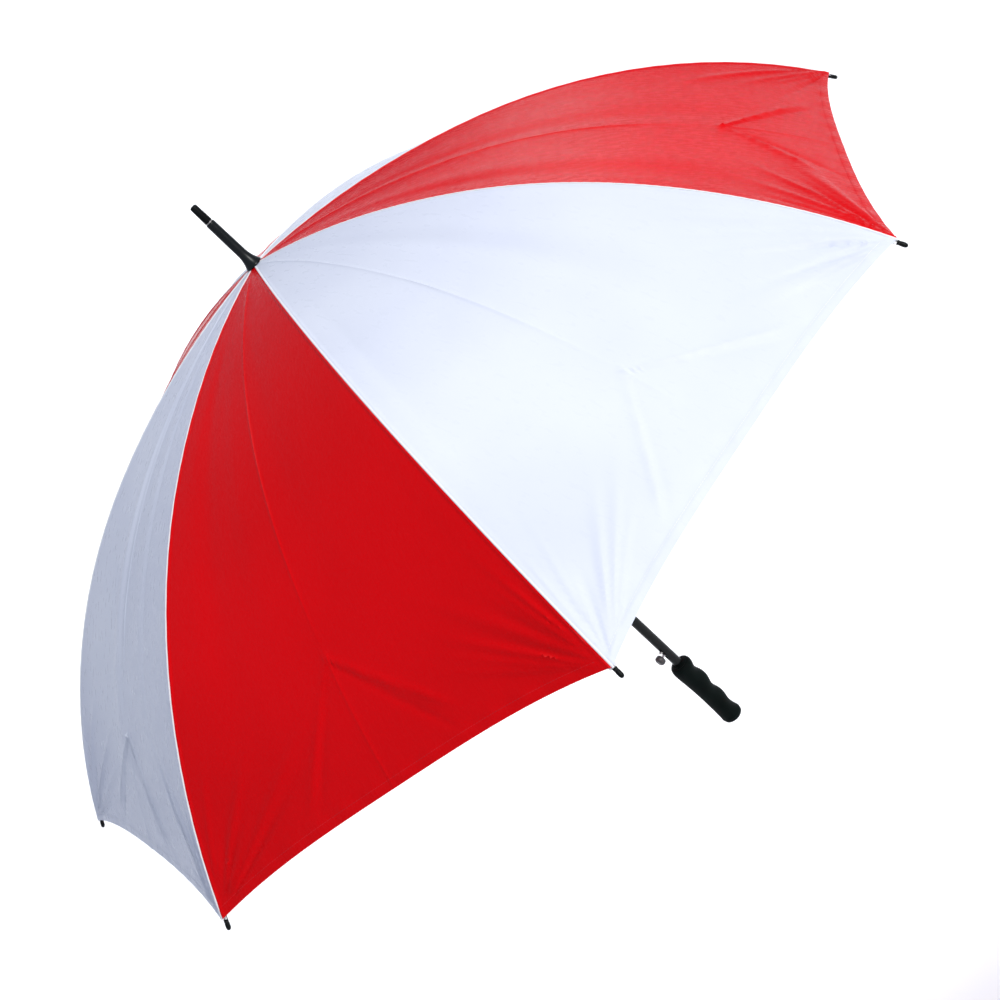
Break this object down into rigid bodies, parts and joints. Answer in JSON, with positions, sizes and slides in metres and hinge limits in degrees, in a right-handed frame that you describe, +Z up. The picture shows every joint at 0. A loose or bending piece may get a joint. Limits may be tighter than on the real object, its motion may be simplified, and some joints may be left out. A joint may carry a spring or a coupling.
{
  "type": "golf umbrella",
  "caption": "Large automatic stick umbrella, open, with a red and white canopy, a straight finger grip and a push button.",
  "frame": {"origin": "middle of the flat end of the grip, on the shaft's axis", "axes": "+Z up the shaft towards the ferrule's tip, +X along rib 1"},
  "size_m": [1.2908, 1.2908, 0.982],
  "materials": {
    "cloth_red": "woven polyester with a light sheen",
    "cloth_white": "woven polyester with a light sheen",
    "shaft": "black enamel",
    "rib_steel": "black enamel on folded steel",
    "grip": "matte moulded",
    "ferrule": "moulded, satin",
    "plastic": "moulded",
    "wire": "plated"
  },
  "bodies": {
    "shaft": {"shaft_tube": "shaft", "grip": "grip", "ferrule": "ferrule", "ferrule_cap": "plastic", "crown": "plastic", "crown_wire": "wire", "opening_spring": "wire"},
    "button": {"release_button": "plastic", "catch_spring": "wire"},
    "runner": {"runner": "plastic", "runner_wire": "wire", "drive_pin": "wire"},
    "rib_inner_1": {"rib_inner_1": "rib_steel"},
    "rib_outer_1": {"rib_outer_1": "rib_steel", "rib_tip_1": "plastic"},
    "stretcher_1": {"stretcher_1": "rib_steel"},
    "panel_inner_1": {"panel_inner_1": "cloth_white"},
    "panel_outer_1": {"panel_outer_1": "cloth_white"},
    "rib_inner_2": {"rib_inner_2": "rib_steel"},
    "rib_outer_2": {"rib_outer_2": "rib_steel", "rib_tip_2": "plastic"},
    "stretcher_2": {"stretcher_2": "rib_steel"},
    "panel_inner_2": {"panel_inner_2": "cloth_red"},
    "panel_outer_2": {"panel_outer_2": "cloth_red"},
    "rib_inner_3": {"rib_inner_3": "rib_steel"},
    "rib_outer_3": {"rib_outer_3": "rib_steel", "rib_tip_3": "plastic"},
    "stretcher_3": {"stretcher_3": "rib_steel"},
    "panel_inner_3": {"panel_inner_3": "cloth_white"},
    "panel_outer_3": {"panel_outer_3": "cloth_white"},
    "rib_inner_4": {"rib_inner_4": "rib_steel"},
    "rib_outer_4": {"rib_outer_4": "rib_steel", "rib_tip_4": "plastic"},
    "stretcher_4": {"stretcher_4": "rib_steel"},
    "panel_inner_4": {"panel_inner_4": "cloth_red"},
    "panel_outer_4": {"panel_outer_4": "cloth_red"},
    "rib_inner_5": {"rib_inner_5": "rib_steel"},
    "rib_outer_5": {"rib_outer_5": "rib_steel", "rib_tip_5": "plastic"},
    "stretcher_5": {"stretcher_5": "rib_steel"},
    "panel_inner_5": {"panel_inner_5": "cloth_white"},
    "panel_outer_5": {"panel_outer_5": "cloth_white"},
    "rib_inner_6": {"rib_inner_6": "rib_steel"},
    "rib_outer_6": {"rib_outer_6": "rib_steel", "rib_tip_6": "plastic"},
    "stretcher_6": {"stretcher_6": "rib_steel"},
    "panel_inner_6": {"panel_inner_6": "cloth_red"},
    "panel_outer_6": {"panel_outer_6": "cloth_red"},
    "rib_inner_7": {"rib_inner_7": "rib_steel"},
    "rib_outer_7": {"rib_outer_7": "rib_steel", "rib_tip_7": "plastic"},
    "stretcher_7": {"stretcher_7": "rib_steel"},
    "panel_inner_7": {"panel_inner_7": "cloth_white"},
    "panel_outer_7": {"panel_outer_7": "cloth_white"},
    "rib_inner_8": {"rib_inner_8": "rib_steel"},
    "rib_outer_8": {"rib_outer_8": "rib_steel", "rib_tip_8": "plastic"},
    "stretcher_8": {"stretcher_8": "rib_steel"},
    "panel_inner_8": {"panel_inner_8": "cloth_red"},
    "panel_outer_8": {"panel_outer_8": "cloth_red"}
  },
  "joints": [
    {"name": "runner_slide", "type": "slide", "parent": "shaft", "child": "runner", "axis": [0, 0, -1], "range_m": [0, 0.36181], "stiffness_N_per_m": 60, "springref_m": -0.35, "deforming": ["opening_spring", "panel_inner_1", "panel_outer_1", "panel_inner_2", "panel_outer_2", "panel_inner_3", "panel_outer_3", "panel_inner_4", "panel_outer_4", "panel_inner_5", "panel_outer_5", "panel_inner_6", "panel_outer_6", "panel_inner_7", "panel_outer_7", "panel_inner_8", "panel_outer_8"]},
    {"name": "button_press", "type": "slide", "parent": "shaft", "child": "button", "axis": [0.9239, 0.3827, 0], "range_m": [0, 0.003], "stiffness_N_per_m": 400, "springref_m": -0.002},
    {"name": "rib_hinge_1", "type": "hinge", "parent": "shaft", "child": "rib_inner_1", "pos_m": [0.01, 0, 0.884], "axis": [0, 1, 0], "range_deg": [0, 75.25]},
    {"name": "rib_flex_1", "type": "hinge", "parent": "rib_inner_1", "child": "rib_outer_1", "pos_m": [0.29114, 0, 0.82022], "axis": [0, 1, 0], "range_deg": [-24.33, 0]},
    {"name": "stretcher_hinge_1", "type": "hinge", "parent": "rib_inner_1", "child": "stretcher_1", "pos_m": [0.29114, 0, 0.82022], "axis": [0, 1, 0], "range_deg": [-126.42, 0]},
    {"name": "panel_hinge_1", "type": "hinge", "parent": "shaft", "child": "panel_inner_1", "pos_m": [0.00924, 0.00383, 0.884], "axis": [-0.3827, 0.9239, 0], "range_deg": [0, 73.94]},
    {"name": "panel_fold_1", "type": "hinge", "parent": "panel_inner_1", "child": "panel_outer_1", "pos_m": [0.24992, 0.10352, 0.82451], "axis": [-0.3827, 0.9239, 0], "range_deg": [-24.39, 0]},
    {"name": "rib_hinge_2", "type": "hinge", "parent": "shaft", "child": "rib_inner_2", "pos_m": [0.00707, 0.00707, 0.884], "axis": [-0.7071, 0.7071, 0], "range_deg": [0, 75.25]},
    {"name": "rib_flex_2", "type": "hinge", "parent": "rib_inner_2", "child": "rib_outer_2", "pos_m": [0.20587, 0.20587, 0.82022], "axis": [-0.7071, 0.7071, 0], "range_deg": [-24.33, 0]},
    {"name": "stretcher_hinge_2", "type": "hinge", "parent": "rib_inner_2", "child": "stretcher_2", "pos_m": [0.20587, 0.20587, 0.82022], "axis": [-0.7071, 0.7071, 0], "range_deg": [-126.42, 0]},
    {"name": "panel_hinge_2", "type": "hinge", "parent": "shaft", "child": "panel_inner_2", "pos_m": [0.00383, 0.00924, 0.884], "axis": [-0.9239, 0.3827, 0], "range_deg": [0, 73.94]},
    {"name": "panel_fold_2", "type": "hinge", "parent": "panel_inner_2", "child": "panel_outer_2", "pos_m": [0.10352, 0.24992, 0.82451], "axis": [-0.9239, 0.3827, 0], "range_deg": [-24.39, 0]},
    {"name": "rib_hinge_3", "type": "hinge", "parent": "shaft", "child": "rib_inner_3", "pos_m": [0, 0.01, 0.884], "axis": [-1, 0, 0], "range_deg": [0, 75.25]},
    {"name": "rib_flex_3", "type": "hinge", "parent": "rib_inner_3", "child": "rib_outer_3", "pos_m": [0, 0.29114, 0.82022], "axis": [-1, 0, 0], "range_deg": [-24.33, 0]},
    {"name": "stretcher_hinge_3", "type": "hinge", "parent": "rib_inner_3", "child": "stretcher_3", "pos_m": [0, 0.29114, 0.82022], "axis": [-1, 0, 0], "range_deg": [-126.42, 0]},
    {"name": "panel_hinge_3", "type": "hinge", "parent": "shaft", "child": "panel_inner_3", "pos_m": [-0.00383, 0.00924, 0.884], "axis": [-0.9239, -0.3827, 0], "range_deg": [0, 73.94]},
    {"name": "panel_fold_3", "type": "hinge", "parent": "panel_inner_3", "child": "panel_outer_3", "pos_m": [-0.10352, 0.24992, 0.82451], "axis": [-0.9239, -0.3827, 0], "range_deg": [-24.39, 0]},
    {"name": "rib_hinge_4", "type": "hinge", "parent": "shaft", "child": "rib_inner_4", "pos_m": [-0.00707, 0.00707, 0.884], "axis": [-0.7071, -0.7071, 0], "range_deg": [0, 75.25]},
    {"name": "rib_flex_4", "type": "hinge", "parent": "rib_inner_4", "child": "rib_outer_4", "pos_m": [-0.20587, 0.20587, 0.82022], "axis": [-0.7071, -0.7071, 0], "range_deg": [-24.33, 0]},
    {"name": "stretcher_hinge_4", "type": "hinge", "parent": "rib_inner_4", "child": "stretcher_4", "pos_m": [-0.20587, 0.20587, 0.82022], "axis": [-0.7071, -0.7071, 0], "range_deg": [-126.42, 0]},
    {"name": "panel_hinge_4", "type": "hinge", "parent": "shaft", "child": "panel_inner_4", "pos_m": [-0.00924, 0.00383, 0.884], "axis": [-0.3827, -0.9239, 0], "range_deg": [0, 73.94]},
    {"name": "panel_fold_4", "type": "hinge", "parent": "panel_inner_4", "child": "panel_outer_4", "pos_m": [-0.24992, 0.10352, 0.82451], "axis": [-0.3827, -0.9239, 0], "range_deg": [-24.39, 0]},
    {"name": "rib_hinge_5", "type": "hinge", "parent": "shaft", "child": "rib_inner_5", "pos_m": [-0.01, 0, 0.884], "axis": [0, -1, 0], "range_deg": [0, 75.25]},
    {"name": "rib_flex_5", "type": "hinge", "parent": "rib_inner_5", "child": "rib_outer_5", "pos_m": [-0.29114, 0, 0.82022], "axis": [0, -1, 0], "range_deg": [-24.33, 0]},
    {"name": "stretcher_hinge_5", "type": "hinge", "parent": "rib_inner_5", "child": "stretcher_5", "pos_m": [-0.29114, 0, 0.82022], "axis": [0, -1, 0], "range_deg": [-126.42, 0]},
    {"name": "panel_hinge_5", "type": "hinge", "parent": "shaft", "child": "panel_inner_5", "pos_m": [-0.00924, -0.00383, 0.884], "axis": [0.3827, -0.9239, 0], "range_deg": [0, 73.94]},
    {"name": "panel_fold_5", "type": "hinge", "parent": "panel_inner_5", "child": "panel_outer_5", "pos_m": [-0.24992, -0.10352, 0.82451], "axis": [0.3827, -0.9239, 0], "range_deg": [-24.39, 0]},
    {"name": "rib_hinge_6", "type": "hinge", "parent": "shaft", "child": "rib_inner_6", "pos_m": [-0.00707, -0.00707, 0.884], "axis": [0.7071, -0.7071, 0], "range_deg": [0, 75.25]},
    {"name": "rib_flex_6", "type": "hinge", "parent": "rib_inner_6", "child": "rib_outer_6", "pos_m": [-0.20587, -0.20587, 0.82022], "axis": [0.7071, -0.7071, 0], "range_deg": [-24.33, 0]},
    {"name": "stretcher_hinge_6", "type": "hinge", "parent": "rib_inner_6", "child": "stretcher_6", "pos_m": [-0.20587, -0.20587, 0.82022], "axis": [0.7071, -0.7071, 0], "range_deg": [-126.42, 0]},
    {"name": "panel_hinge_6", "type": "hinge", "parent": "shaft", "child": "panel_inner_6", "pos_m": [-0.00383, -0.00924, 0.884], "axis": [0.9239, -0.3827, 0], "range_deg": [0, 73.94]},
    {"name": "panel_fold_6", "type": "hinge", "parent": "panel_inner_6", "child": "panel_outer_6", "pos_m": [-0.10352, -0.24992, 0.82451], "axis": [0.9239, -0.3827, 0], "range_deg": [-24.39, 0]},
    {"name": "rib_hinge_7", "type": "hinge", "parent": "shaft", "child": "rib_inner_7", "pos_m": [0, -0.01, 0.884], "axis": [1, 0, 0], "range_deg": [0, 75.25]},
    {"name": "rib_flex_7", "type": "hinge", "parent": "rib_inner_7", "child": "rib_outer_7", "pos_m": [0, -0.29114, 0.82022], "axis": [1, 0, 0], "range_deg": [-24.33, 0]},
    {"name": "stretcher_hinge_7", "type": "hinge", "parent": "rib_inner_7", "child": "stretcher_7", "pos_m": [0, -0.29114, 0.82022], "axis": [1, 0, 0], "range_deg": [-126.42, 0]},
    {"name": "panel_hinge_7", "type": "hinge", "parent": "shaft", "child": "panel_inner_7", "pos_m": [0.00383, -0.00924, 0.884], "axis": [0.9239, 0.3827, 0], "range_deg": [0, 73.94]},
    {"name": "panel_fold_7", "type": "hinge", "parent": "panel_inner_7", "child": "panel_outer_7", "pos_m": [0.10352, -0.24992, 0.82451], "axis": [0.9239, 0.3827, 0], "range_deg": [-24.39, 0]},
    {"name": "rib_hinge_8", "type": "hinge", "parent": "shaft", "child": "rib_inner_8", "pos_m": [0.00707, -0.00707, 0.884], "axis": [0.7071, 0.7071, 0], "range_deg": [0, 75.25]},
    {"name": "rib_flex_8", "type": "hinge", "parent": "rib_inner_8", "child": "rib_outer_8", "pos_m": [0.20587, -0.20587, 0.82022], "axis": [0.7071, 0.7071, 0], "range_deg": [-24.33, 0]},
    {"name": "stretcher_hinge_8", "type": "hinge", "parent": "rib_inner_8", "child": "stretcher_8", "pos_m": [0.20587, -0.20587, 0.82022], "axis": [0.7071, 0.7071, 0], "range_deg": [-126.42, 0]},
    {"name": "panel_hinge_8", "type": "hinge", "parent": "shaft", "child": "panel_inner_8", "pos_m": [0.00924, -0.00383, 0.884], "axis": [0.3827, 0.9239, 0], "range_deg": [0, 73.94]},
    {"name": "panel_fold_8", "type": "hinge", "parent": "panel_inner_8", "child": "panel_outer_8", "pos_m": [0.24992, -0.10352, 0.82451], "axis": [0.3827, 0.9239, 0], "range_deg": [-24.39, 0]}
  ],
  "couplings": [
    {"joint": "rib_hinge_1", "follows": "runner_slide", "rad_per_m": 3.6291},
    {"joint": "rib_flex_1", "follows": "runner_slide", "rad_per_m": -1.1727},
    {"joint": "stretcher_hinge_1", "follows": "runner_slide", "rad_per_m": -6.0973},
    {"joint": "panel_hinge_1", "follows": "runner_slide", "rad_per_m": 3.5658},
    {"joint": "panel_fold_1", "follows": "runner_slide", "rad_per_m": -1.1756},
    {"joint": "rib_hinge_2", "follows": "runner_slide", "rad_per_m": 3.6291},
    {"joint": "rib_flex_2", "follows": "runner_slide", "rad_per_m": -1.1727},
    {"joint": "stretcher_hinge_2", "follows": "runner_slide", "rad_per_m": -6.0973},
    {"joint": "panel_hinge_2", "follows": "runner_slide", "rad_per_m": 3.5658},
    {"joint": "panel_fold_2", "follows": "runner_slide", "rad_per_m": -1.1756},
    {"joint": "rib_hinge_3", "follows": "runner_slide", "rad_per_m": 3.6291},
    {"joint": "rib_flex_3", "follows": "runner_slide", "rad_per_m": -1.1727},
    {"joint": "stretcher_hinge_3", "follows": "runner_slide", "rad_per_m": -6.0973},
    {"joint": "panel_hinge_3", "follows": "runner_slide", "rad_per_m": 3.5658},
    {"joint": "panel_fold_3", "follows": "runner_slide", "rad_per_m": -1.1756},
    {"joint": "rib_hinge_4", "follows": "runner_slide", "rad_per_m": 3.6291},
    {"joint": "rib_flex_4", "follows": "runner_slide", "rad_per_m": -1.1727},
    {"joint": "stretcher_hinge_4", "follows": "runner_slide", "rad_per_m": -6.0973},
    {"joint": "panel_hinge_4", "follows": "runner_slide", "rad_per_m": 3.5658},
    {"joint": "panel_fold_4", "follows": "runner_slide", "rad_per_m": -1.1756},
    {"joint": "rib_hinge_5", "follows": "runner_slide", "rad_per_m": 3.6291},
    {"joint": "rib_flex_5", "follows": "runner_slide", "rad_per_m": -1.1727},
    {"joint": "stretcher_hinge_5", "follows": "runner_slide", "rad_per_m": -6.0973},
    {"joint": "panel_hinge_5", "follows": "runner_slide", "rad_per_m": 3.5658},
    {"joint": "panel_fold_5", "follows": "runner_slide", "rad_per_m": -1.1756},
    {"joint": "rib_hinge_6", "follows": "runner_slide", "rad_per_m": 3.6291},
    {"joint": "rib_flex_6", "follows": "runner_slide", "rad_per_m": -1.1727},
    {"joint": "stretcher_hinge_6", "follows": "runner_slide", "rad_per_m": -6.0973},
    {"joint": "panel_hinge_6", "follows": "runner_slide", "rad_per_m": 3.5658},
    {"joint": "panel_fold_6", "follows": "runner_slide", "rad_per_m": -1.1756},
    {"joint": "rib_hinge_7", "follows": "runner_slide", "rad_per_m": 3.6291},
    {"joint": "rib_flex_7", "follows": "runner_slide", "rad_per_m": -1.1727},
    {"joint": "stretcher_hinge_7", "follows": "runner_slide", "rad_per_m": -6.0973},
    {"joint": "panel_hinge_7", "follows": "runner_slide", "rad_per_m": 3.5658},
    {"joint": "panel_fold_7", "follows": "runner_slide", "rad_per_m": -1.1756},
    {"joint": "rib_hinge_8", "follows": "runner_slide", "rad_per_m": 3.6291},
    {"joint": "rib_flex_8", "follows": "runner_slide", "rad_per_m": -1.1727},
    {"joint": "stretcher_hinge_8", "follows": "runner_slide", "rad_per_m": -6.0973},
    {"joint": "panel_hinge_8", "follows": "runner_slide", "rad_per_m": 3.5658},
    {"joint": "panel_fold_8", "follows": "runner_slide", "rad_per_m": -1.1756}
  ]
}
